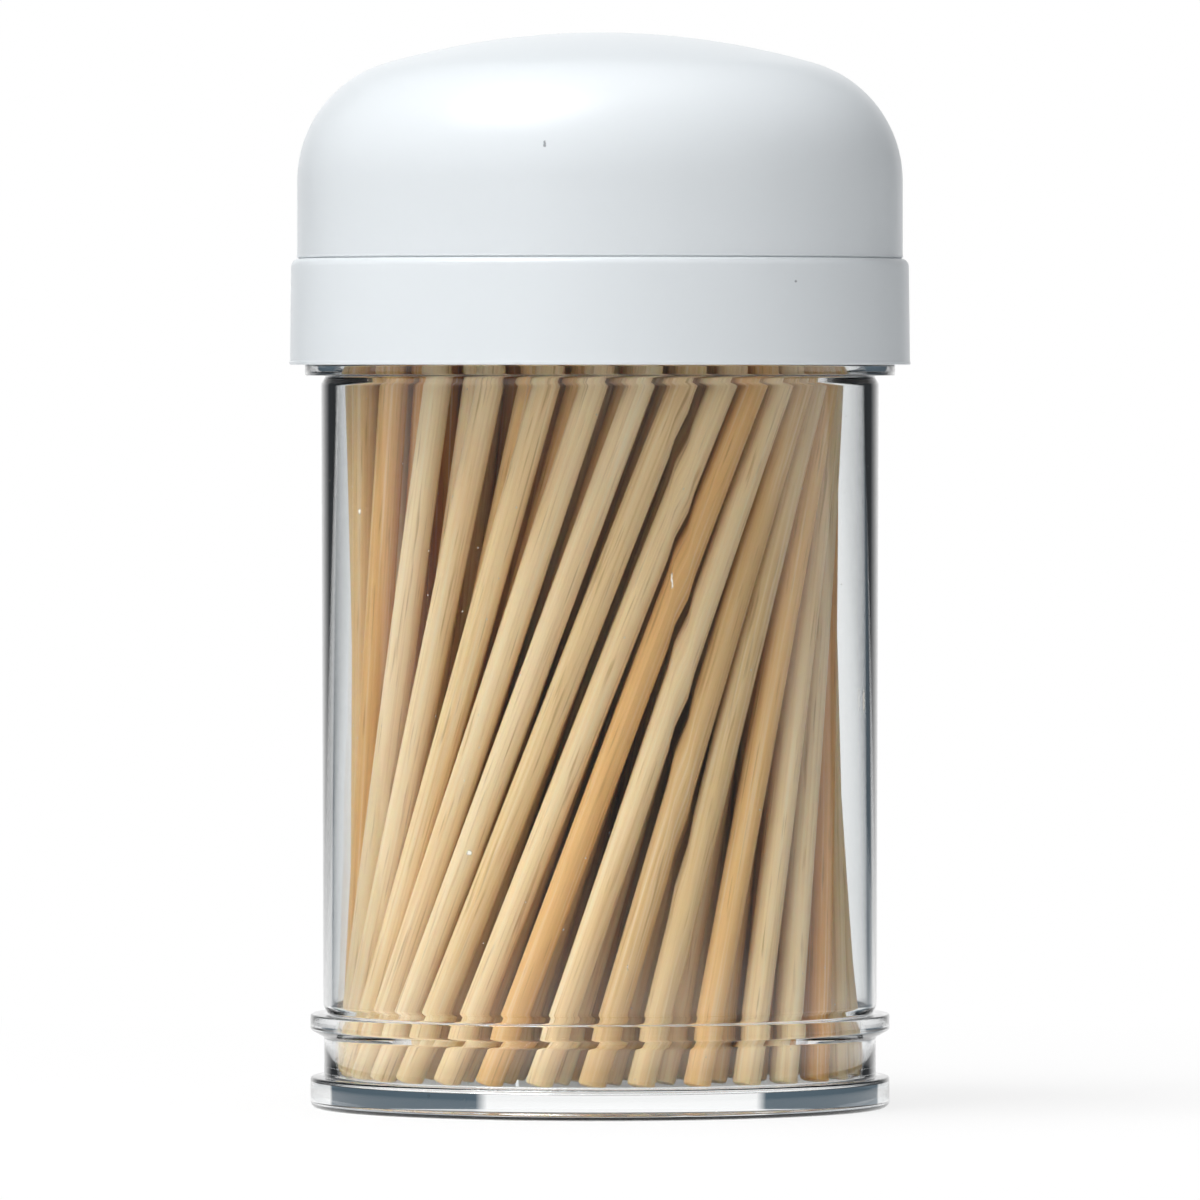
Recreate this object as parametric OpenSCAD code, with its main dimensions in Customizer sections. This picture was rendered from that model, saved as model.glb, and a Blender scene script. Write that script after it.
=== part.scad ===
// Round table-top toothpick dispenser: a clear jar full of toothpicks, a
// collar with a dispensing deck pulled over its neck, and a domed lid.
// Millimetres. Z is up, the origin is the middle of the base on the table,
// and the front of the jar faces -Y.

/* [Jar] */
// Outer diameter of the barrel just above the rib
barrel_d = 40.7; // [36:0.1:52]
// How much wider the barrel is at its top, the mould's draft
barrel_draft = 0.3; // [0:0.05:0.8]
// Thickness of the jar's wall just above the rib
jar_wall = 0.65; // [0.5:0.05:1.6]
// Height of the floor's top above the table
floor_top = 1.8; // [1.4:0.1:3]
// Depth of the hollow under the base
base_hollow = 0.6; // [0.2:0.1:0.8]
// Width of the ring that the base stands on
foot_ring_w = 2.4; // [1.5:0.1:5]
// How far the base flange and the rib stand out from the barrel
flange_out = 0.95; // [0.5:0.05:2]
// Height of the base flange
base_flange_h = 2.3; // [1.8:0.1:3]
// Height at which the rib's underside starts
rib_z = 5.2; // [4.5:0.1:8]
// Height of the rib
rib_h = 1.7; // [1:0.1:3]
// How far the stop flange reaches under the collar's skirt
stop_seat = 0.3; // [0.2:0.05:1]
// Thickness of the stop flange
stop_h = 0.8; // [0.6:0.05:2]
// Gap between the neck's rim and the collar's ledge
rim_gap = 0.1; // [0.1:0.05:0.5]
// How far the neck's snap bead stands out
neck_bead = 0.7; // [0.4:0.05:1]

/* [Collar] */
// Thickness of the collar's skirt at its bottom
collar_wall = 1.425; // [0.8:0.025:2.5]
// How much narrower the collar is at its top
collar_draft = 0.25; // [0:0.05:0.6]
// Height of the collar, from the stop flange to its ledge
collar_h = 7.8; // [6.6:0.1:11]
// Thickness of the collar's ledge, and of the wall of its spigot
ledge_t = 1.2; // [0.8:0.05:1.6]
// Gap between the neck's snap bead and the collar's skirt
skirt_gap = 0.2; // [0.1:0.05:0.4]
// Height of the spigot, which the lid goes over
spigot_h = 6.0; // [5.2:0.1:8]
// Thickness of the dispensing deck
deck_t = 1.2; // [0.8:0.05:1.6]
// Diameter of the dispensing hole
hole_d = 8; // [6:0.1:12]
// Distance from the dispensing hole's edge to the inside of the spigot
hole_inset = 4.2; // [1.5:0.1:8]
// Width and height of the lip around the dispensing hole
hole_lip = 0.7; // [0.4:0.05:1.2]

/* [Lid] */
// How far the lid's side stands back from the collar's top edge
lid_step = 0.45; // [0:0.05:1]
// Height of the lid's top above the deck
dome_room = 10.6; // [9:0.1:18]
// Thickness of the lid's wall and top
lid_wall = 1.2; // [0.8:0.05:1.6]
// Radius of the lid's shallow dome
crown_r = 56.5; // [45:0.5:90]
// Radius that turns the dome into the wall
shoulder_r = 9; // [4:0.1:10]
// Gap between the lid and the spigot
lid_gap = 0.15; // [0.05:0.05:0.4]

/* [Toothpicks] */
// Diameter of a toothpick
pick_d = 2.0; // [1.6:0.05:2.4]
// Length of a toothpick
pick_len = 65; // [50:0.1:80]
// Length of the point at a toothpick's top
pick_taper = 4.5; // [2:0.1:8]
// Diameter of the blunted point
pick_tip_d = 0.45; // [0.3:0.05:0.8]
// Chamfer around the foot, which is cut off square
pick_chamfer = 0.25; // [0.1:0.05:0.5]
// Distance between two rows of toothpicks, middle to middle, in diameters of one
row_spread = 1.21; // [1.2:0.01:1.5]
// Average gap between neighbours in a row
pick_gap = 0.42; // [0.3:0.01:0.8]
// How far a toothpick may stand out of its even place, as a share of that gap
pick_sway = 0.3; // [0:0.01:0.3]
// How far the twisted bundle draws in at half height, in front
waist_front = 4.8; // [3:0.05:5]
// The same at the left side, where the toothpicks stand straighter
waist_left = 0.9; // [0.8:0.05:3]
// The same at the right side
waist_right = 2.0; // [1:0.05:4]
// Room between the toothpicks' points and the underside of the deck
tip_room = 0.3; // [0.2:0.05:2]
// Turn of each row's first toothpick from the back; the last is the innermost row's
row_start = [6, 2, 2, 3, 5]; // [-10:0.5:10]

/* [Hidden] */
$fn = 96;

// Heights, from the toothpicks up to the deck and down again to the barrel's top
foot_gap = 0.1;                     // what the toothpicks' feet clear the floor by
foot_z = floor_top + foot_gap;
deck_z = foot_z + pick_len + tip_room;
spigot_top = deck_z + deck_t;
ledge_z = spigot_top - spigot_h;
stop_top = ledge_z - collar_h;
barrel_h = stop_top - stop_h;
neck_top = ledge_z - ledge_t - rim_gap;
lid_top = spigot_top + dome_room;

// Jar
barrel_r = barrel_d / 2;
barrel_top_r = barrel_r + barrel_draft / 2;
bore_r = barrel_r - jar_wall;
flange_r = barrel_r + flange_out;
lower_wall_r = barrel_r - 0.05;      // a hair narrower than the barrel
edge_r = 0.4;                       // rounding of the jar's outer edges
barrel_edge_r = 0.6;                // rounding of the barrel's two ends
neck_r = barrel_top_r;
bead_r = neck_r + neck_bead;
stop_r = bead_r + skirt_gap + stop_seat;
bead_z = neck_top - 2.2;            // middle of the neck's snap bead
bead_w = 1.2;                       // height of a snap bead

// Collar
bead_clear = 0.05;                  // what a snap bead clears when it stands still
skirt_in_r = bead_r + skirt_gap;
collar_bottom_r = skirt_in_r + collar_wall;
collar_top_r = collar_bottom_r - collar_draft / 2;
skirt_bead = skirt_gap - bead_clear;
skirt_bead_z = bead_z - 2 * bead_w;
collar_edge_r = 0.6;                // rounding of the collar's top edge

// Lid
lid_r = collar_top_r - lid_step;
lid_in_r = lid_r - lid_wall;
spigot_r = lid_in_r - lid_gap;
spigot_in_r = spigot_r - ledge_t;
hole_reach = spigot_in_r - hole_inset - hole_d / 2;
spigot_bead = lid_gap - bead_clear;
spigot_bead_z = ledge_z + 2.2;
lid_lead_in = 0.5;                  // chamfer inside the lid's mouth

// Toothpicks
pick_r = pick_d / 2;
wall_gap = 0.1;
end_r = min(bore_r, spigot_in_r) - pick_r - wall_gap;   // circle of the outer row's ends
row_pitch = pick_d * row_spread;
left_at = -105;                     // where the toothpicks stand straightest, degrees
right_at = 95;                      // and where they stand straighter at the right side
row_count = 5;
core_waist = 1.5 * pick_d;          // narrowest waist at which the last row is made

// Points of an arc about c, from angle a0 to a1 in n steps
function arc(c, r, a0, a1, n) =
    [for (i = [0:n]) let (a = a0 + (a1 - a0) * i / n) c + r * [cos(a), sin(a)]];

// Outline of the lid's outside, or of its inside when t is the wall, from the
// rim up to the axis: a straight wall, the shoulder arc and the crown arc.
function lid_outline(t) =
    let (sr = shoulder_r - t,
         sc_r = lid_r - shoulder_r,
         crown_z = lid_top - crown_r,
         sc_z = crown_z + sqrt(pow(crown_r - shoulder_r, 2) - sc_r * sc_r),
         turn = atan2(sc_z - crown_z, sc_r))
    concat(arc([sc_r, sc_z], sr, 0, turn, 10),
           arc([0, crown_z], crown_r - t, turn + (90 - turn) / 6, 90, 5));

// A repeatable number from -0.5 to 0.5 that looks random
function scatter(i, k) =
    let (x = sin((i * 12.9898 + k * 78.233) * 180 / PI) * 43758.5453) x - floor(x) - 0.5;

// A hump of height 1 around the turn "at", falling smoothly to 0 behind it
function hump(turn, at) = pow((1 + cos(turn - at)) / 2, 3);

// Row k: the radius of its toothpicks' ends, and at a turn from the front the
// radius of their middles and the turn from an end to the middle
function row_r(k) = end_r - row_pitch * k;
function row_waist(k, turn) =
    let (left = hump(turn, left_at), right = hump(turn, right_at), front = 1 - left - right)
    row_r(k) - waist_front * front - waist_left * left - waist_right * right;
function half_turn(k, turn) = acos(row_waist(k, turn) / row_r(k));

// Lean of a toothpick whose ends stand at r and whose middle stands at waist
function lean(r, waist) = asin(2 * sqrt(r * r - waist * waist) / pick_len);

// Turn from one toothpick of row k to the next, which leaves a width between
// their axes at the middle, and at the ends where the twist changes
function row_step(k, turn, width) =
    let (r = row_r(k),
         at = turn + width / r * 90 / PI,
         waist = row_waist(k, at),
         twist = abs(half_turn(k, at + 0.5) - half_turn(k, at - 0.5)))
    width / (min(waist, r * (1 - twist)) * cos(lean(r, waist))) * 180 / PI;

// Turns of all toothpicks of row k, from the back and once round
function row_turns(k) =
    let (from = 180 + row_start[min(k + row_count - rows_made, row_count - 1)],
         pitch = pick_d + pick_gap,
         places = [for (t = 0; t + row_step(k, from + t, pitch) <= 360;
                        t = t + row_step(k, from + t, pitch)) t],
         last = places[len(places) - 1],
         stretch = 360 / (last + row_step(k, from + last, pitch)))
    [for (i = [0:len(places) - 1])
        from + stretch * (places[i] + 2 * scatter(i + 1, k + 1)
                          * row_step(k, from + places[i], pick_gap * pick_sway))];

rows_made = len([for (k = [0:row_count - 1]) if (row_waist(k, 180) > core_waist) k]);

// One toothpick up along +Z from the origin, cut square at its foot and
// pointed at its top
module toothpick() {
    rotate_extrude($fn = 24)
        polygon([[0, 0],
                 [pick_r - pick_chamfer, 0],
                 [pick_r, pick_chamfer],
                 [pick_r, pick_len - pick_taper],
                 [pick_tip_d / 2, pick_len],
                 [0, pick_len]]);
}

// A toothpick whose foot and top stand on a circle of radius r
module leaning_toothpick(foot_turn, top_turn, r) {
    half = (top_turn - foot_turn) / 2;
    tilt = lean(r, r * cos(half));
    rotate([0, 0, (foot_turn + top_turn) / 2 - 90])
        translate([r * cos(half), -r * sin(half), foot_z + pick_r * sin(tilt)])
        rotate([-tilt, 0, 0])
        toothpick();
}

module toothpick_row(k) {
    for (turn = row_turns(k)) {
        half = half_turn(k, turn);
        leaning_toothpick(turn - half, turn + half, row_r(k));
    }
}

module toothpicks_outer_row() { color("BurlyWood") toothpick_row(0); }

module toothpicks_second_row() { color("Tan") toothpick_row(1); }

module toothpicks_third_row() { color("BurlyWood") toothpick_row(2); }

module toothpicks_fourth_row() { color("Tan") toothpick_row(3); }

// The innermost row, where the jar is wide enough for it, and one upright
module toothpicks_core() {
    color("BurlyWood") {
        if (rows_made == row_count) toothpick_row(row_count - 1);
        translate([0, 0, foot_z]) toothpick();
    }
}

// Clear moulded jar, turned from one outline: foot ring, base flange, lower
// wall, rib with a chamfer under it, barrel, stop flange, neck and snap bead.
module jar() {
    color("LightCyan", 0.4)
        rotate_extrude()
        polygon(concat(
            [[0, base_hollow],
             [flange_r - foot_ring_w, base_hollow],
             [flange_r - foot_ring_w, 0]],
            arc([flange_r - edge_r, edge_r], edge_r, -90, 0, 4),
            [[flange_r, base_flange_h - edge_r / 2],
             [flange_r - edge_r / 2, base_flange_h],
             [lower_wall_r, base_flange_h],
             [lower_wall_r, rib_z],
             [flange_r, rib_z + rib_h / 3],
             [flange_r, rib_z + rib_h],
             [barrel_r - barrel_edge_r, rib_z + rib_h]],
            arc([barrel_r - barrel_edge_r, rib_z + rib_h + barrel_edge_r], barrel_edge_r, -60, 0, 4),
            arc([barrel_top_r - barrel_edge_r, barrel_h - barrel_edge_r], barrel_edge_r, 0, 60, 4),
            [[barrel_top_r - barrel_edge_r / 2, barrel_h],
             [stop_r, barrel_h],
             [stop_r, stop_top],
             [neck_r, stop_top],
             [neck_r, bead_z - bead_w / 2],
             [bead_r, bead_z - bead_w / 6],
             [bead_r, bead_z + bead_w / 6],
             [neck_r, bead_z + bead_w / 2],
             [neck_r, neck_top],
             [bore_r, neck_top],
             [bore_r, floor_top],
             [0, floor_top]]));
}

// Collar: the skirt stands on the stop flange, the ledge carries the lid, and
// the spigot inside the lid is closed by the deck with its dispensing hole.
module collar() {
    color("WhiteSmoke")
        difference() {
            union() {
                rotate_extrude()
                    polygon(concat(
                        [[skirt_in_r, stop_top],
                         [collar_bottom_r, stop_top]],
                        arc([collar_top_r - collar_edge_r, ledge_z - collar_edge_r], collar_edge_r, 0, 90, 4),
                        [[spigot_r, ledge_z],
                         [spigot_r, spigot_bead_z - bead_w / 2],
                         [spigot_r + spigot_bead, spigot_bead_z],
                         [spigot_r, spigot_bead_z + bead_w / 2],
                         [spigot_r, spigot_top - ledge_t / 2],
                         [spigot_r - ledge_t / 2, spigot_top],
                         [0, spigot_top],
                         [0, deck_z],
                         [spigot_in_r, deck_z],
                         [spigot_in_r, ledge_z - ledge_t],
                         [skirt_in_r, ledge_z - ledge_t],
                         [skirt_in_r, skirt_bead_z + bead_w / 2],
                         [skirt_in_r - skirt_bead, skirt_bead_z],
                         [skirt_in_r, skirt_bead_z - bead_w / 2]]));
                translate([0, -hole_reach, deck_z])
                    cylinder(d = hole_d + 2 * hole_lip, h = deck_t + hole_lip);
            }
            translate([0, -hole_reach, deck_z - 1])
                cylinder(d = hole_d, h = deck_t + hole_lip + 2);
        }
}

// Domed lid: a round shell that stands on the ledge and lifts off
module domed_lid() {
    color("White")
        rotate_extrude()
        polygon(concat(
            [[lid_in_r + lid_lead_in, ledge_z],
             [lid_r, ledge_z]],
            lid_outline(0),
            [for (i = [len(lid_outline(lid_wall)) - 1:-1:0]) lid_outline(lid_wall)[i]],
            [[lid_in_r, ledge_z + lid_lead_in]]));
}

jar();
collar();
domed_lid();
toothpicks_outer_row();
toothpicks_second_row();
toothpicks_third_row();
toothpicks_fourth_row();
toothpicks_core();
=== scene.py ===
"""A round table pot of toothpicks: a clear moulded jar, a white collar and a white domed lid.

The moulded pieces are turned from outlines around the pot's axis. Each toothpick is modelled
where the frame has one. Sizes are in millimetres and turned into metres by MM.
"""

import math
import random

import bmesh
import bpy
import numpy as np
from mathutils import Matrix, Vector


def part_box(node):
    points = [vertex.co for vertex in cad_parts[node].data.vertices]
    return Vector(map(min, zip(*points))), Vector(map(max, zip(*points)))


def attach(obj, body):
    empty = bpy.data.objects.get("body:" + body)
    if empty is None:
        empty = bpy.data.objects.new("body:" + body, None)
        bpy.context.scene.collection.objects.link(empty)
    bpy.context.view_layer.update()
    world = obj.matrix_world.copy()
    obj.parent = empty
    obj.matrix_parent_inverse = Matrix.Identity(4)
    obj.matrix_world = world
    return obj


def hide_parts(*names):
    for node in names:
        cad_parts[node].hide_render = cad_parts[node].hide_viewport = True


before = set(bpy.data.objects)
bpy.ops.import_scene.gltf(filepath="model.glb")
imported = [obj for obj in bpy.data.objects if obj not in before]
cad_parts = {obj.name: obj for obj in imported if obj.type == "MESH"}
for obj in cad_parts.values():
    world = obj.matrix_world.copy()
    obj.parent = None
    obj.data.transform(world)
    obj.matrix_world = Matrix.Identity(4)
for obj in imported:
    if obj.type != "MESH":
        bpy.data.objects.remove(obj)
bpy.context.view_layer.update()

MM = 0.001

# ---------------------------------------------------------------- sizes, from the frame
_, jar_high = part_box("jar")
collar_low, collar_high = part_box("collar")
lid_low, lid_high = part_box("domed_lid")

stop_top = collar_low.z / MM            # the collar stands on the stop flange
ledge_z = lid_low.z / MM                # the lid stands on the collar's ledge
lid_top = lid_high.z / MM
neck_top = jar_high.z / MM
collar_r = collar_high.x / MM
lid_r = lid_high.x / MM
stop_r = jar_high.x / MM

# Sizes that the boxes don't give
flange_r = 21.3
lower_wall_r = 20.3
base_flange_h = 2.3
rib_z, rib_chamfer_z, rib_top = 5.2, 5.77, 6.9
barrel_r, barrel_top_r = 20.35, 20.5
barrel_top = 53.8
bore_r = 19.7
floor_top, base_hollow, foot_ring_w = 1.8, 0.6, 2.4
bead_w = 1.2
neck_bead_z, neck_bead_out = neck_top - 2.2, 0.7
skirt_in_r, skirt_bead_z, skirt_bead_in = 21.4, neck_bead_z - 2 * bead_w, 0.15
spigot_r, spigot_wall = 20.9, 1.2
spigot_bead_z, spigot_bead_out = ledge_z + 2.2, 0.1
spigot_top = ledge_z + 6.0
deck_t = ledge_t = 1.2
deck_z = spigot_top - deck_t
hole_d, hole_reach, hole_lip = 8.0, 11.5, 0.7
lid_wall, crown_r, shoulder_r = 1.2, 56.5, 9.0
pick_r, pick_len, pick_taper, pick_tip_r, pick_chamfer = 1.0, 65.0, 4.5, 0.225, 0.25

TURN_STEPS, HOLE_STEPS = 256, 96        # columns round a moulded piece and round the hole
ARC_STEP = 18.0                         # degrees between the points of a rounded corner
MERGE_DISTANCE = 0.003                  # mm
SMOOTH_ANGLE, PICK_SMOOTH_ANGLE = 28, 40
PARTING_TURN = 16.7                     # degrees from the front to the jar's mould line
PARTING_WIDTH, PARTING_HEIGHT = 0.1, 0.035
PARTING_LOW = 0.3                       # mm above the table where the mould line starts


# ---------------------------------------------------------------- camera
PHOTO_PX_PER_MM = 13.6
PHOTO_WIDTH = 1200
EYE_HEIGHT = 54.5                       # mm; the collar's lower edge is seen level
EYE_DISTANCE = 1075.0                   # mm; from how far the base's front edge hangs
AIM_HEIGHT = 37.3                       # mm; what lies in the middle of the picture


def make_camera():
    data = bpy.data.cameras.new("camera")
    data.sensor_width = 36.0
    data.lens = data.sensor_width * EYE_DISTANCE / (PHOTO_WIDTH / PHOTO_PX_PER_MM)
    data.clip_start, data.clip_end = 0.05, 20.0
    camera = bpy.data.objects.new("camera", data)
    bpy.context.scene.collection.objects.link(camera)
    camera.location = Vector((0, -EYE_DISTANCE, EYE_HEIGHT)) * MM
    aim = Vector((0, 0, AIM_HEIGHT)) * MM
    camera.rotation_euler = (aim - camera.location).to_track_quat("-Z", "Y").to_euler()
    bpy.context.scene.camera = camera


make_camera()


# ---------------------------------------------------------------- modelling helpers
def deselect_all():
    if bpy.context.object and bpy.context.object.mode != "OBJECT":
        bpy.ops.object.mode_set(mode="OBJECT")
    bpy.ops.object.select_all(action="DESELECT")


def pick_up(piece):
    """Makes a piece the only selected and the active one."""
    deselect_all()
    bpy.context.view_layer.objects.active = piece
    piece.select_set(True)


def apply_modifier(piece, kind, **settings):
    pick_up(piece)
    modifier = piece.modifiers.new(kind.title(), kind)
    for name, value in settings.items():
        setattr(modifier, name, value)
    bpy.ops.object.modifier_apply(modifier=modifier.name)


def smooth(piece, angle=SMOOTH_ANGLE):
    pick_up(piece)
    bpy.ops.object.shade_smooth_by_angle(angle=math.radians(angle))


def coords(piece):
    """The piece's corners as rows of x, y, z in mm."""
    flat = np.empty(len(piece.data.vertices) * 3)
    piece.data.vertices.foreach_get("co", flat)
    return flat.reshape(-1, 3) / MM


def set_coords(piece, places):
    piece.data.vertices.foreach_set("co", (places * MM).ravel())
    piece.data.update()


def rounded(corners, step=ARC_STEP):
    """An outline of (r, z, radius) corners, with an arc of that radius in place of each."""
    points = []
    for i, (r, z, radius) in enumerate(corners):
        here = Vector((r, z))
        if radius <= 0 or i in (0, len(corners) - 1):
            points.append(here)
            continue
        back = Vector(corners[i - 1][:2]) - here
        ahead = Vector(corners[i + 1][:2]) - here
        half = back.angle(ahead) / 2
        reach = min(radius / math.tan(half), 0.49 * back.length, 0.49 * ahead.length)
        radius = reach * math.tan(half)
        inward = (back.normalized() + ahead.normalized()).normalized()
        centre = here + inward * radius / math.sin(half)
        first = here + back.normalized() * reach - centre
        last = here + ahead.normalized() * reach - centre
        start = math.atan2(first.y, first.x)
        bend = math.remainder(math.atan2(last.y, last.x) - start, 2 * math.pi)
        count = max(2, round(abs(math.degrees(bend)) / step))
        for k in range(count + 1):
            t = start + bend * k / count
            points.append(centre + radius * Vector((math.cos(t), math.sin(t))))
    return points


def arc(centre, radius, start, end, count):
    """Points of an arc in the outline's plane, from one angle to another in degrees."""
    turns = [math.radians(start + (end - start) * k / count) for k in range(count + 1)]
    return [Vector((centre[0] + radius * math.cos(t), centre[1] + radius * math.sin(t)))
            for t in turns]


def turned(name, outline, start_turn=0.0, steps=TURN_STEPS):
    """A closed outline of (r, z) points in mm, extruded edge by edge and spun round the pot's
    axis. start_turn is where its first column stands, in degrees from the front."""
    deselect_all()
    bpy.ops.mesh.primitive_plane_add(size=MM, location=(0, 0, 0))
    piece = bpy.context.object
    piece.name = piece.data.name = name
    t = math.radians(start_turn - 90)
    places = [Vector((p[0] * math.cos(t), p[0] * math.sin(t), p[1])) * MM for p in outline]
    bpy.ops.object.mode_set(mode="EDIT")
    bpy.ops.mesh.select_all(action="SELECT")
    bpy.ops.mesh.merge(type="CENTER")
    bpy.ops.transform.translate(value=places[0])
    for here, there in zip(places, places[1:]):
        bpy.ops.mesh.extrude_region_move(TRANSFORM_OT_translate={"value": there - here})
    bpy.ops.mesh.select_all(action="SELECT")
    bpy.ops.mesh.spin(steps=steps, angle=2 * math.pi, center=(0, 0, 0), axis=(0, 0, 1))
    bpy.ops.mesh.select_all(action="SELECT")
    bpy.ops.mesh.remove_doubles(threshold=MERGE_DISTANCE * MM)
    bpy.ops.mesh.normals_make_consistent(inside=False)
    bpy.ops.object.mode_set(mode="OBJECT")
    smooth(piece)
    return piece


# ---------------------------------------------------------------- clear jar
def jar_outline():
    """From the middle of the underside, up the outside, over the neck and down the bore."""
    return rounded([
        (0, base_hollow, 0),
        (flange_r - foot_ring_w, base_hollow, 0.25),
        (flange_r - foot_ring_w + 0.1, 0, 0.2),
        (flange_r, 0, 0.5),
        (flange_r, base_flange_h, 0.2),
        (lower_wall_r, base_flange_h, 0.15),
        (lower_wall_r, rib_z, 0.2),
        (flange_r, rib_chamfer_z, 0.2),
        (flange_r, rib_top, 0.15),
        (barrel_r - 0.35, rib_top, 0.1),
        (barrel_r, rib_top + 0.6, 0.5),
        (barrel_top_r, barrel_top - 0.6, 0.5),
        (barrel_top_r - 0.35, barrel_top, 0.1),
        (stop_r, barrel_top, 0.15),
        (stop_r, stop_top, 0.12),
        (barrel_top_r, stop_top, 0.15),
        (barrel_top_r, neck_bead_z - bead_w / 2, 0.2),
        (barrel_top_r + neck_bead_out, neck_bead_z, 0.3),
        (barrel_top_r, neck_bead_z + bead_w / 2, 0.2),
        (barrel_top_r, neck_top, 0.3),
        (bore_r, neck_top, 0.3),
        (bore_r, floor_top, 0.25),
        (0, floor_top, 0),
    ])


def raise_parting_line(jar, turn):
    """The fine ridge that the gap between the mould's halves leaves up the jar's outside."""
    side = Vector((math.sin(math.radians(turn)), -math.cos(math.radians(turn))))
    across = Vector((side.y, -side.x))

    def on_line(corner):
        place = Vector(corner.co) / MM
        in_line = abs(place.xy.dot(across)) < 0.01
        outside = place.xy.dot(side) > lower_wall_r - 0.5
        return in_line and outside and PARTING_LOW < place.z < stop_top - 0.02

    pick_up(jar)
    bpy.ops.object.mode_set(mode="EDIT")
    bpy.ops.mesh.select_all(action="DESELECT")
    mesh = bmesh.from_edit_mesh(jar.data)
    for edge in mesh.edges:
        edge.select = all(on_line(corner) for corner in edge.verts)
    bmesh.update_edit_mesh(jar.data)
    bpy.ops.mesh.bevel(offset=PARTING_WIDTH * MM, segments=4, affect="EDGES")
    for corner in mesh.verts:
        if on_line(corner):
            corner.co.xy += side * PARTING_HEIGHT * MM
    bmesh.update_edit_mesh(jar.data)
    bpy.ops.object.mode_set(mode="OBJECT")


def make_jar():
    jar = turned("clear_jar", jar_outline(), start_turn=PARTING_TURN)
    for turn in (PARTING_TURN, PARTING_TURN + 180):
        raise_parting_line(jar, turn)
    smooth(jar)
    return jar


# ---------------------------------------------------------------- white collar
def collar_outline():
    """From the middle of the deck's top, down the spigot and the skirt, and back up inside."""
    return rounded([
        (0, spigot_top, 0),
        (spigot_r, spigot_top, 0.6),
        (spigot_r, spigot_bead_z + bead_w / 2, 0.2),
        (spigot_r + spigot_bead_out, spigot_bead_z, 0.2),
        (spigot_r, spigot_bead_z - bead_w / 2, 0.2),
        (spigot_r, ledge_z, 0.12),
        (collar_r - 0.125, ledge_z, 0.6),
        (collar_r - 0.04, stop_top + 0.3, 0.1),
        (collar_r, stop_top + 0.22, 0.05),
        (collar_r, stop_top, 0.06),
        (skirt_in_r, stop_top, 0.15),
        (skirt_in_r, skirt_bead_z - bead_w / 2, 0.2),
        (skirt_in_r - skirt_bead_in, skirt_bead_z, 0.2),
        (skirt_in_r, skirt_bead_z + bead_w / 2, 0.2),
        (skirt_in_r, ledge_z - ledge_t, 0.4),
        (spigot_r - spigot_wall, ledge_z - ledge_t, 0.3),
        (spigot_r - spigot_wall, deck_z, 0.4),
        (0, deck_z, 0),
    ])


def cut_hole(collar):
    """The dispensing hole through the deck, with its rounded lip."""
    hole_r = hole_d / 2
    lip_top = spigot_top + hole_lip
    inner_r, lip_low = hole_r - 0.3, deck_z + 0.3      # inside what the cutter takes away
    lip = turned("hole_lip", rounded([
        (inner_r, lip_low, 0),
        (hole_r + hole_lip, lip_low, 0.1),
        (hole_r + hole_lip, lip_top, 0.3),
        (inner_r, lip_top, 0.1),
        (inner_r, lip_low, 0),
    ]), steps=HOLE_STEPS)
    cutter = turned("hole_cutter", rounded([
        (0, deck_z - 0.5, 0),
        (hole_r + 0.4, deck_z - 0.5, 0.1),
        (hole_r, deck_z + 0.1, 0.3),
        (hole_r, lip_top - 0.2, 0.3),
        (hole_r + 0.35, lip_top + 0.1, 0.1),
        (hole_r + 0.35, lip_top + 1, 0.1),
        (0, lip_top + 1, 0),
    ]), steps=HOLE_STEPS)
    for tool, operation in ((lip, "UNION"), (cutter, "DIFFERENCE")):
        tool.data.transform(Matrix.Translation((0, -hole_reach * MM, 0)))
        apply_modifier(collar, "BOOLEAN", operation=operation, object=tool, solver="EXACT")
        bpy.data.objects.remove(tool)


def make_collar():
    collar = turned("white_collar", collar_outline())
    cut_hole(collar)
    smooth(collar)
    return collar


# ---------------------------------------------------------------- white domed lid
def dome(wall):
    """The shoulder and the crown of the lid, from the top of its side up to the axis."""
    centre_r = lid_r - shoulder_r
    crown_z = lid_top - crown_r
    centre_z = crown_z + math.sqrt((crown_r - shoulder_r) ** 2 - centre_r ** 2)
    turn = math.degrees(math.atan2(centre_z - crown_z, centre_r))
    shoulder = arc((centre_r, centre_z), shoulder_r - wall, 0, turn, 26)
    crown = arc((0, crown_z), crown_r - wall, turn, 90, 18)
    return shoulder + crown[1:]


def lid_outline():
    """From the axis down the inside, round the rim and up the outside to the axis again."""
    in_r = lid_r - lid_wall
    rim = rounded([
        (in_r, ledge_z + 3, 0),
        (in_r, ledge_z + 0.6, 0.2),
        (in_r + 0.45, ledge_z, 0.12),
        (lid_r - 0.12, ledge_z, 0.02),
        (lid_r + 0.04, ledge_z + 0.12, 0.02),
        (lid_r, ledge_z + 0.26, 0.03),
        (lid_r, ledge_z + 3, 0),
    ])
    return dome(lid_wall)[::-1] + rim + dome(0)


def make_lid():
    return turned("white_lid", lid_outline())


# ---------------------------------------------------------------- toothpicks
PICK_ROWS = {
    "toothpicks_outer_row": "outer_toothpicks",
    "toothpicks_second_row": "second_toothpicks",
    "toothpicks_third_row": "third_toothpicks",
    "toothpicks_fourth_row": "fourth_toothpicks",
    "toothpicks_core": "core_toothpicks",
}
PICK_SIDES = 14
PICK_BOW = 0.05                         # mm that a toothpick may bend at half length
PICK_MERGE_DISTANCE = 0.002             # mm
PICK_SEED = 7


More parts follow.
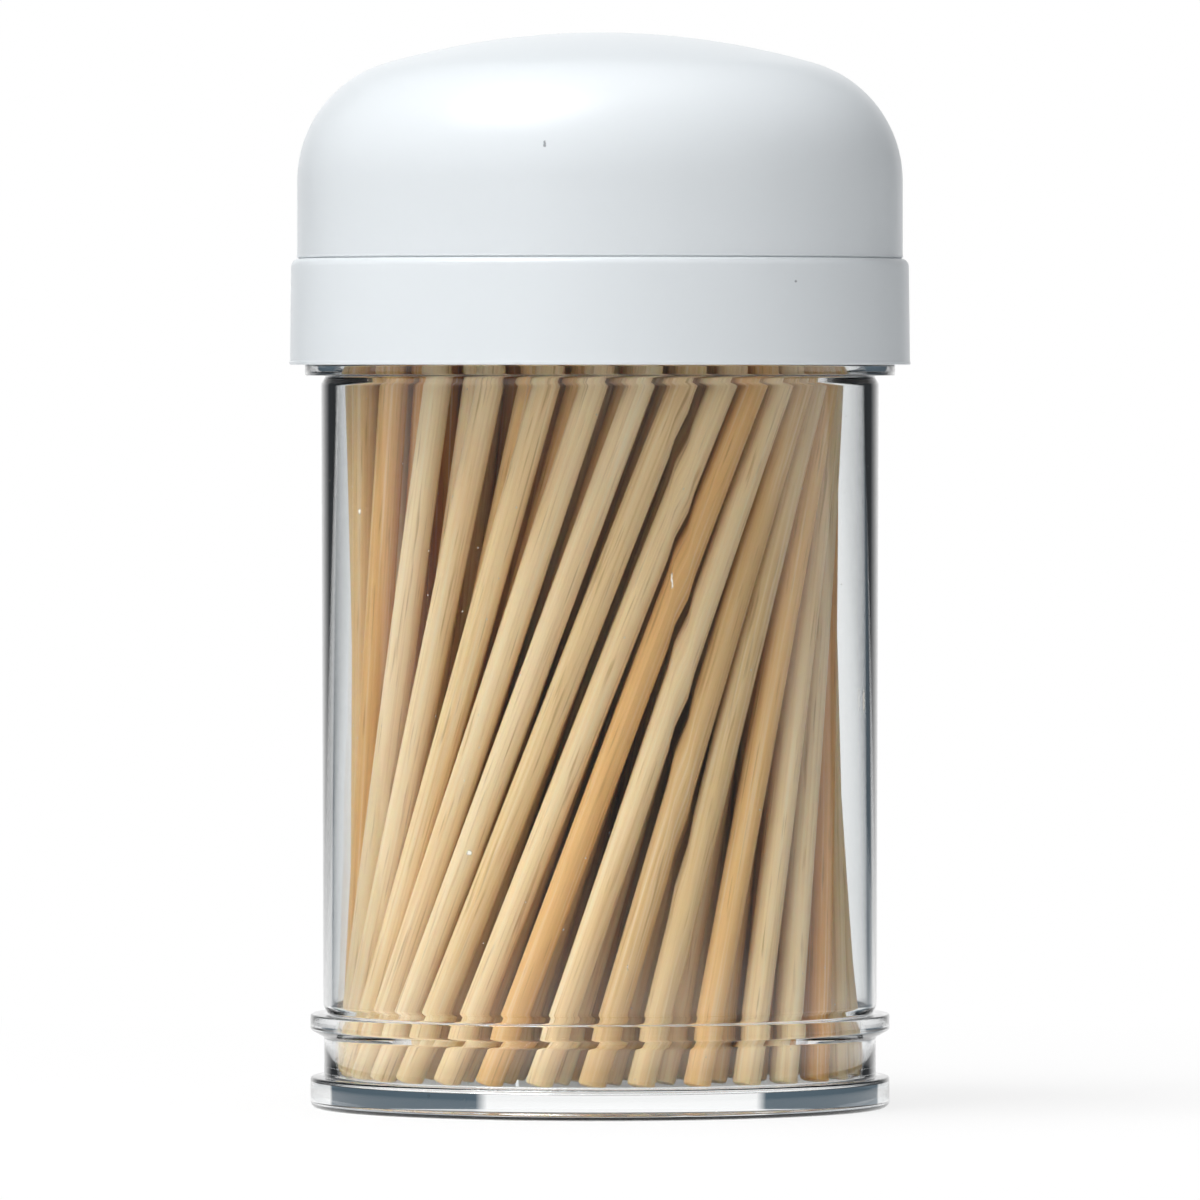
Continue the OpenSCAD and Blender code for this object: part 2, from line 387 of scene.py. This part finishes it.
def pick_axes(node):
    """The foot and the top of each toothpick of a node, in mm, in the order of their places."""
    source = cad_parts[node]
    copy = bpy.data.objects.new("axes", source.data.copy())
    bpy.context.scene.collection.objects.link(copy)
    pick_up(copy)
    bpy.ops.object.mode_set(mode="EDIT")
    bpy.ops.mesh.select_all(action="SELECT")
    bpy.ops.mesh.remove_doubles(threshold=PICK_MERGE_DISTANCE * MM)
    bpy.ops.mesh.separate(type="LOOSE")
    bpy.ops.object.mode_set(mode="OBJECT")
    axes = []
    for part in list(bpy.context.selected_objects):
        places = coords(part)
        height = places[:, 2]
        # Its two ends give its lean, and their faces are found along that
        low, high = places[height < height.min() + 1], places[height > height.max() - 0.2]
        lean = Vector(high.mean(axis=0) - low.mean(axis=0)).normalized()
        along = places @ np.array(lean)
        axes.append((places[along < along.min() + 0.1].mean(axis=0),
                     places[along > along.max() - 0.1].mean(axis=0)))
        bpy.data.objects.remove(part)
    return sorted(axes, key=lambda ends: tuple(np.round(ends[0], 2)))


def make_pick_master():
    """One toothpick up from the origin: a rod of split bamboo, cut off square at its foot and
    turned to a blunted point at its top."""
    foot = [(pick_r - pick_chamfer, 0.0), (pick_r - 0.3 * pick_chamfer, 0.3 * pick_chamfer),
            (pick_r, pick_chamfer)]
    rod = [(pick_r, pick_len * share) for share in (0.2, 0.4, 0.6, 0.8)]
    point = [(pick_r, pick_len - pick_taper), (0.66 * pick_r, pick_len - 0.55 * pick_taper),
             (pick_tip_r + 0.1, pick_len - 0.15 * pick_taper), (pick_tip_r, pick_len)]
    rings = foot + rod + point
    deselect_all()
    bpy.ops.mesh.primitive_circle_add(
        vertices=PICK_SIDES, radius=rings[0][0] * MM, fill_type="NGON")
    master = bpy.context.object
    bpy.ops.object.mode_set(mode="EDIT")
    bpy.ops.mesh.select_all(action="SELECT")
    for (r0, z0), (r1, z1) in zip(rings, rings[1:]):
        bpy.ops.mesh.extrude_region_move(TRANSFORM_OT_translate={"value": (0, 0, (z1 - z0) * MM)})
        bpy.ops.transform.resize(value=(r1 / r0, r1 / r0, 1), center_override=(0, 0, z1 * MM))
    bpy.ops.mesh.select_all(action="SELECT")
    bpy.ops.mesh.normals_make_consistent(inside=False)
    bpy.ops.object.mode_set(mode="OBJECT")
    smooth(master, PICK_SMOOTH_ANGLE)
    return master


def lay_pick(master, foot, top, draw):
    """A copy of the master from foot to top, rolled and bent a little. It carries its place in
    the grain and its tone for the material."""
    pick = bpy.data.objects.new("toothpick", master.data.copy())
    bpy.context.scene.collection.objects.link(pick)
    local = coords(pick)
    along = local[:, 2] / pick_len
    roll, bow_turn = draw.uniform(0, 2 * math.pi), draw.uniform(0, 2 * math.pi)
    bow = draw.uniform(0, PICK_BOW) * 4 * along * (1 - along)
    grain = np.column_stack([
        local[:, 0] + draw.uniform(0, 50),
        local[:, 1] + draw.uniform(0, 50),
        local[:, 2] + draw.uniform(0, 900),
    ])
    for name, kind, key, values in (
        ("grain", "FLOAT_VECTOR", "vector", grain),
        ("tone", "FLOAT", "value", np.full(len(local), draw.random())),
        ("greyness", "FLOAT", "value", np.full(len(local), draw.random())),
    ):
        attribute = pick.data.attributes.new(name, kind, "POINT")
        attribute.data.foreach_set(key, values.astype(np.float32).ravel())
    bent = local + np.column_stack([bow * math.cos(bow_turn), bow * math.sin(bow_turn), 0 * bow])
    set_coords(pick, bent)
    axis = Vector(top - foot)
    place = (
        Matrix.Translation(Vector(foot) * MM)
        @ axis.to_track_quat("Z", "Y").to_matrix().to_4x4()
        @ Matrix.Rotation(roll, 4, "Z")
        @ Matrix.Diagonal((1, 1, axis.length / pick_len, 1))
    )
    pick.data.transform(place)
    return pick


def make_pick_row(master, node, name, draw):
    picks = [lay_pick(master, foot, top, draw) for foot, top in pick_axes(node)]
    deselect_all()
    for pick in picks:
        pick.select_set(True)
    bpy.context.view_layer.objects.active = picks[0]
    bpy.ops.object.join()
    row = bpy.context.object
    row.name = row.data.name = name
    return row


# ---------------------------------------------------------------- shader helpers
WHITE = (1, 1, 1, 1)


def linear(colour):
    """An sRGB hex colour as linear red, green, blue and alpha."""
    parts = [int(colour[i:i + 2], 16) / 255 for i in (0, 2, 4)]
    return tuple(c / 12.92 if c <= 0.04045 else ((c + 0.055) / 1.055) ** 2.4
                 for c in parts) + (1.0,)


def add(tree, kind, inputs=None, **settings):
    """Adds a node of a kind, with its settings, and sets or links its inputs."""
    node = tree.nodes.new(kind)
    for name, value in settings.items():
        setattr(node, name, value)
    for name, value in (inputs or {}).items():
        socket = node.inputs[name]
        if isinstance(value, bpy.types.NodeSocket):
            tree.links.new(value, socket)
        else:
            socket.default_value = value
    return node


def calc(tree, operation, *values, **settings):
    """What a math node makes of some values."""
    inputs = dict(enumerate(values))
    return add(tree, "ShaderNodeMath", inputs, operation=operation, **settings).outputs[0]


def vector_calc(tree, operation, *values, output=0):
    """What a vector math node makes of some vectors."""
    inputs = dict(enumerate(values))
    return add(tree, "ShaderNodeVectorMath", inputs, operation=operation).outputs[output]


def spread(tree, value, low, high, to_low=0.0, to_high=1.0):
    """A value's range from low to high, spread over another range and held at its ends."""
    return add(tree, "ShaderNodeMapRange", {
        "Value": value, "From Min": low, "From Max": high, "To Min": to_low, "To Max": to_high,
    }).outputs[0]


def at_least(tree, value, count):
    """1 where a whole number is a count or more, and else 0."""
    return spread(tree, value, count - 0.6, count - 0.4)


def most(tree, values):
    """The greatest of some values."""
    result = values[0]
    for value in values[1:]:
        result = calc(tree, "MAXIMUM", result, value)
    return result


def blend_colours(tree, share, first, second):
    """The colour between two others; share, 0 to 1, is how much there is of the second."""
    inputs = {0: share, 6: first, 7: second}
    return add(tree, "ShaderNodeMix", inputs, data_type="RGBA").outputs[2]


def blend_shaders(tree, share, first, second):
    """The shader between two others; share, 0 to 1, is how much there is of the second."""
    return add(tree, "ShaderNodeMixShader", {0: share, 1: first, 2: second}).outputs[0]


def new_material(name):
    material = bpy.data.materials.new(name)
    material.use_nodes = True
    material.node_tree.nodes.clear()
    return material, material.node_tree


# ---------------------------------------------------------------- marks on the plastics
# Marks on the front, in mm: x, z, the piece's radius there, width and height
NICK_SHADE_AND_SPECK_MARKS = (
    (-4.0, 70.5, lid_r - 0.3, 0.2, 0.7),          # the painted shade of a nick in the lid
    (14.2, 60.6, collar_r - 0.05, 0.35, 0.3),     # the speck on the collar
)
JAR_MARKS = (
    (-17.5, 43.9, barrel_r + 0.1, 0.4, 0.5),
    (-9.5, 19.3, barrel_r + 0.1, 0.5, 0.4),
    (19.3, 30.0, barrel_r + 0.1, 0.5, 2.0),
    (5.2, 39.0, barrel_r + 0.1, 0.2, 1.3),
    (2.0, 10.9, barrel_r + 0.1, 0.2, 0.9),
)
RAGGED = 0.25                           # mm, how far and how finely a mark's edge is ragged
DUST_CELL, DUST_RADIUS = 2.2, 0.07      # mm


def on_front(x, z, radius):
    """The point at x and z, in mm, on the front of a round piece of a radius."""
    return Vector((x, -math.sqrt(radius ** 2 - x ** 2), z)) * MM


def mark(tree, place, centre, width, height):
    """1 inside a small spot about a point, with a ragged edge; width and height in mm."""
    noise = add(tree, "ShaderNodeTexNoise", {
        "Vector": place, "Scale": 1 / (RAGGED * MM), "Detail": 1})
    rough = noise.outputs["Color"]
    ragged = vector_calc(tree, "MULTIPLY_ADD", rough, (RAGGED * MM,) * 3, place)
    # The noise lies about 0.5 and not about 0, so the middle moves by half of it
    middle = tuple(c + RAGGED / 2 * MM for c in centre)
    away = vector_calc(tree, "SUBTRACT", ragged, middle)
    per_half_size = (2 / (width * MM), 2 / (width * MM), 2 / (height * MM))
    scaled = vector_calc(tree, "MULTIPLY", away, per_half_size)
    distance = vector_calc(tree, "LENGTH", scaled, output="Value")
    return spread(tree, distance, 1.0, 0.6)


def marks(tree, place, rows):
    return [mark(tree, place, on_front(x, z, radius), width, height)
            for x, z, radius, width, height in rows]


def specks(tree, place, cell, radius):
    """1 inside round specks of a radius, one to each cube of a cell's width, all in mm."""
    dots = add(tree, "ShaderNodeTexVoronoi", {"Vector": place, "Scale": 1 / (cell * MM)})
    return spread(tree, dots.outputs["Distance"], radius / cell, 0.7 * radius / cell)


# ---------------------------------------------------------------- materials
def moulded_white_polypropylene():
    """Polypropylene filled with white pigment, injection moulded in a polished mould.
    It gives a cool white with a broad soft highlight, and has a dark speck and the painted shade
    of a fine nick."""
    material, tree = new_material("moulded_white_polypropylene")
    place = add(tree, "ShaderNodeTexCoord").outputs["Object"]
    marked = most(tree, marks(tree, place, NICK_SHADE_AND_SPECK_MARKS))
    # The grey is the dark speck on the collar, and painted shade standing in for the nick in the
    # lid, whose dent is not modelled
    colour = blend_colours(tree, marked, linear("DDE2E5"), linear("969B9F"))
    # Fine texture of the skin, drawn at 0.5 mm so that it shows
    skin = add(tree, "ShaderNodeTexNoise", {"Vector": place, "Scale": 1 / (0.5 * MM), "Detail": 2})
    bump = add(tree, "ShaderNodeBump", {
        "Height": skin.outputs["Fac"], "Strength": 0.1, "Distance": 0.01 * MM})
    shader = add(tree, "ShaderNodeBsdfPrincipled", {
        "Base Color": colour,
        "Roughness": 0.31,
        "IOR": 1.49,
        "Subsurface Weight": 0.12,
        "Subsurface Radius": (1.0, 1.0, 1.0),
        "Subsurface Scale": 1.2 * MM,
        "Normal": bump.outputs[0],
    })
    add(tree, "ShaderNodeOutputMaterial", {"Surface": shader.outputs[0]})
    return material


def moulded_clear_polystyrene():
    """General purpose polystyrene, injection moulded: water clear, hard and glossy, with bright
    edges, dusty and marked here and there. The lamps' light passes through it to the inside."""
    material, tree = new_material("moulded_clear_polystyrene")
    place = add(tree, "ShaderNodeTexCoord").outputs["Object"]
    dust = [specks(tree, place, DUST_CELL, DUST_RADIUS)] + marks(tree, place, JAR_MARKS)
    clear = add(tree, "ShaderNodeBsdfPrincipled", {
        "Base Color": linear("FEFFFF"),
        "Roughness": 0.02,
        "IOR": 1.59,
        "Transmission Weight": 1.0,
    }).outputs[0]
    dusty = add(tree, "ShaderNodeBsdfDiffuse", {"Color": linear("E6E2D8")}).outputs[0]
    marked = blend_shaders(tree, most(tree, dust), clear, dusty)
    passing = add(tree, "ShaderNodeBsdfTransparent", {"Color": linear("FBFDFD")}).outputs[0]
    shadow_ray = add(tree, "ShaderNodeLightPath").outputs["Is Shadow Ray"]
    surface = blend_shaders(tree, shadow_ray, marked, passing)
    add(tree, "ShaderNodeOutputMaterial", {"Surface": surface})
    return material


def stretched_noise(tree, place, width, length, detail):
    """Noise in streaks of a width and a length, in the unit of place."""
    scaled = vector_calc(tree, "MULTIPLY", place, (1 / width, 1 / width, 1 / length))
    noise = add(tree, "ShaderNodeTexNoise", {"Vector": scaled, "Scale": 1.0, "Detail": detail})
    return noise.outputs["Fac"]


def turned_bamboo():
    """Split bamboo, turned to a rod and left raw: pale cream to tan, dull, with fine fibres that
    run the length of each toothpick as lighter and darker streaks."""
    material, tree = new_material("turned_bamboo")
    grain = add(tree, "ShaderNodeAttribute", attribute_name="grain").outputs["Vector"]
    tone = add(tree, "ShaderNodeAttribute", attribute_name="tone").outputs["Fac"]
    greyness = add(tree, "ShaderNodeAttribute", attribute_name="greyness").outputs["Fac"]
    # In mm: fibres, the dark vascular bundles among them, and the drift of the culm's colour
    fibre = stretched_noise(tree, grain, 0.25, 20, 3)
    bundle = stretched_noise(tree, grain, 0.22, 5, 1)
    drift = stretched_noise(tree, grain, 1.6, 14, 1)
    body = add(tree, "ShaderNodeValToRGB", {"Fac": tone})
    stops = body.color_ramp.elements
    stops[0].color, stops[1].color = linear("FCE2B8"), linear("E6A860")
    for place, tint in ((0.4, "FADAA6"), (0.78, "F4CA8E"), (0.94, "F0BA76")):
        stops.new(place).color = linear(tint)
    colour = body.outputs[0]
    for value, low, high, full_share, tint in (
        (greyness, 0.75, 1.0, 0.4, "CDBB94"),
        (drift, 0.5, 0.8, 0.35, "E4B470"),
        (fibre, 0.52, 0.72, 0.35, "C89A5C"),
        (fibre, 0.48, 0.3, 0.4, "FCEFD2"),
        (bundle, 0.62, 0.75, 0.45, "A67A40"),
    ):
        share = spread(tree, value, low, high, 0.0, full_share)
        colour = blend_colours(tree, share, colour, linear(tint))
    bump = add(tree, "ShaderNodeBump", {"Height": fibre, "Strength": 0.6, "Distance": 0.05 * MM})
    shader = add(tree, "ShaderNodeBsdfPrincipled", {
        "Base Color": colour,
        "Roughness": 0.7,
        "Specular IOR Level": 0.15,
        "Subsurface Weight": 0.3,
        "Subsurface Radius": (1.0, 0.45, 0.15),
        "Subsurface Scale": 1.0 * MM,
        "Normal": bump.outputs[0],
    })
    add(tree, "ShaderNodeOutputMaterial", {"Surface": shader.outputs[0]})
    return material


# ---------------------------------------------------------------- the studio
FLOOR_SIZE = 640                        # mm
FLOOR_DROP = 0.02                       # mm that the card lies under the pot's foot
FLOOR_GLOW = 0.8                        # how far the card near the pot is lit to plain white
CARD_NEAR = 40                          # mm from the pot's axis, up to which the card is even
SHADOW_END = 150                        # mm from the axis, where the shadow has faded out
CARD_END = 110                          # mm from the axis, where bent light finds no card
FLAG_EDGE, FLAG_BLUR = 22, 1            # degrees from each side's middle to its flag
FLAG_SHIFT = -4                         # degrees that the flags stand out of line
FLAG_TOP, FLAG_FADE = 0.6, 0.06         # height of the flags, as the rise of a ray
FLAG_COLOUR = "54646F"
ROOM_COLOUR = "5C6064"                  # the dim room in front of the table, in reflections
EDGE_COLOUR = "9AA6AE"                  # the room in front, as the jar's edges gather it
AMBIENT = 0.25
# Where parts of the room meet, as how far back or up a ray goes
FRONT_TO_SIDES = (-0.3, 0.0)
ROOM_TO_BACK = (0.88, 0.97)
SIDES_TO_BELOW = (-0.3, -0.4)


def seen_share(tree):
    """1 for what the camera sees straight, mirrored or through the clear jar, 0 for light that a
    matt surface gathers."""
    path = add(tree, "ShaderNodeLightPath").outputs
    kinds = ("Is Camera Ray", "Is Glossy Ray", "Is Transmission Ray")
    seen = most(tree, [path[kind] for kind in kinds])
    straight = calc(tree, "LESS_THAN", path["Diffuse Depth"], 0.5)
    return calc(tree, "MULTIPLY", seen, straight)


def white_floor():
    """Matt white card, lit to white but for the pot's shadow, which fades out round the pot."""
    material, tree = new_material("matt_white_card")
    place = add(tree, "ShaderNodeTexCoord").outputs["Object"]
    away = vector_calc(tree, "LENGTH", place, output="Value")
    card = add(tree, "ShaderNodeBsdfDiffuse", {"Color": linear("F0F0F0")}).outputs[0]
    glow = add(tree, "ShaderNodeEmission", {"Color": WHITE, "Strength": 1.0}).outputs[0]
    glowing = spread(tree, away, CARD_NEAR * MM, SHADOW_END * MM, FLOOR_GLOW, 1.0)
    seen = seen_share(tree)
    lit_card = blend_shaders(tree, calc(tree, "MULTIPLY", seen, glowing), card, glow)
    # What is mirrored or seen through the jar finds only the card close by, and then the room
    camera_ray = add(tree, "ShaderNodeLightPath").outputs["Is Camera Ray"]
    bent = calc(tree, "SUBTRACT", seen, camera_ray, use_clamp=True)
    far = spread(tree, away, CARD_NEAR * MM, CARD_END * MM)
    beyond = add(tree, "ShaderNodeBsdfTransparent").outputs[0]
    surface = blend_shaders(tree, calc(tree, "MULTIPLY", far, bent), lit_card, beyond)
    add(tree, "ShaderNodeOutputMaterial", {"Surface": surface})
    return material


def make_floor():
    deselect_all()
    bpy.ops.mesh.primitive_plane_add(size=FLOOR_SIZE * MM, location=(0, 0, -FLOOR_DROP * MM))
    floor = bpy.context.object
    floor.name = "floor"
    floor.data.materials.append(white_floor())


def flags(tree, back, right, up):
    """White with a dark flag between each two of the four sides."""
    turn = calc(tree, "ARCTAN2", back, right)
    shifted = calc(tree, "ADD", turn, math.radians(FLAG_SHIFT))
    folded = calc(tree, "PINGPONG", shifted, math.pi / 4)
    flag = spread(tree, folded,
                  math.radians(FLAG_EDGE - FLAG_BLUR), math.radians(FLAG_EDGE + FLAG_BLUR))
    low = spread(tree, up, FLAG_TOP + FLAG_FADE, FLAG_TOP)
    return blend_colours(tree, calc(tree, "MULTIPLY", flag, low), WHITE, linear(FLAG_COLOUR))


def make_world():
    """White for the camera, and an even soft light for matt surfaces. Reflections find white
    behind the pot and below, and else a dim room. Light that leaves the jar finds white too,
    but for flags at the back and the sides, and the dim room in front."""
    world = bpy.data.worlds.new("studio")
    world.use_nodes = True
    tree = world.node_tree
    tree.nodes.clear()
    ray = add(tree, "ShaderNodeTexCoord").outputs["Generated"]
    right, back, up = add(tree, "ShaderNodeSeparateXYZ", {"Vector": ray}).outputs
    path = add(tree, "ShaderNodeLightPath").outputs
    room = linear(ROOM_COLOUR)
    # Only light that stayed inside the base or the wall, and so crossed two surfaces, finds flags
    left_wall = at_least(tree, path["Transmission Depth"], 3)
    sides = blend_colours(tree, left_wall, flags(tree, back, right, up), WHITE)
    # In front, light that was mirrored once finds the dim room, so that no haze lies on the
    # toothpicks; what was mirrored more often is what the jar's edges gather
    once, often = (at_least(tree, path["Glossy Depth"], count) for count in (1, 2))
    front = blend_colours(tree, once, WHITE, room)
    front = blend_colours(tree, often, front, linear(EDGE_COLOUR))
    through = blend_colours(tree, spread(tree, back, *FRONT_TO_SIDES), front, sides)
    mirrored = blend_colours(tree, spread(tree, back, *ROOM_TO_BACK), room, WHITE)
    colour = blend_colours(tree, path["Is Transmission Ray"], mirrored, through)
    colour = blend_colours(tree, spread(tree, up, *SIDES_TO_BELOW), colour, WHITE)
    colour = blend_colours(tree, path["Is Camera Ray"], colour, WHITE)
    ambient = (AMBIENT, AMBIENT, AMBIENT * 1.02, 1)
    colour = blend_colours(tree, seen_share(tree), ambient, colour)
    shine = add(tree, "ShaderNodeBackground", {"Color": colour, "Strength": 1.0}).outputs[0]
    add(tree, "ShaderNodeOutputWorld", {"Surface": shine})
    bpy.context.scene.world = world


def add_lamp(name, place, power, width, height, mirrored=True):
    """A soft box at a place in mm, facing the middle of the pot. One that isn't mirrored gives
    light, but no highlight of its own on what is glossy."""
    data = bpy.data.lights.new(name, "AREA")
    data.shape = "RECTANGLE"
    data.size, data.size_y = width * MM, height * MM
    data.energy = power
    lamp = bpy.data.objects.new(name, data)
    bpy.context.scene.collection.objects.link(lamp)
    lamp.location = Vector(place) * MM
    aim = Vector((0, 0, lid_top / 2)) * MM
    lamp.rotation_euler = (aim - lamp.location).to_track_quat("-Z", "Y").to_euler()
    lamp.visible_glossy = lamp.visible_transmission = mirrored


# ---------------------------------------------------------------- assembly
def finish_piece(piece, body, slot, material, *nodes):
    piece.data.materials.clear()
    piece.data.materials.append(material)
    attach(piece, body)
    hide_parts(*nodes)


clear_plastic = moulded_clear_polystyrene()
white_plastic = moulded_white_polypropylene()
bamboo = turned_bamboo()

finish_piece(make_jar(), "jar", "clear_plastic", clear_plastic, "jar")
finish_piece(make_collar(), "collar", "white_plastic", white_plastic, "collar")
finish_piece(make_lid(), "lid", "white_plastic", white_plastic, "domed_lid")

draw = random.Random(PICK_SEED)
pick_master = make_pick_master()
for node, name in PICK_ROWS.items():
    finish_piece(make_pick_row(pick_master, node, name, draw), "jar", "bamboo", bamboo, node)
bpy.data.objects.remove(pick_master)

make_floor()
make_world()
add_lamp("overhead_soft_box", (-330, -240, 870), 5.6, 500, 500)
add_lamp("top_soft_box", (-60, 80, 950), 3.2, 600, 600, mirrored=False)
add_lamp("left_soft_box", (-460, -850, 300), 2.95, 500, 700, mirrored=False)
add_lamp("right_fill", (800, -600, 200), 0.9, 500, 700, mirrored=False)

bpy.context.scene.view_settings.view_transform = "Standard"
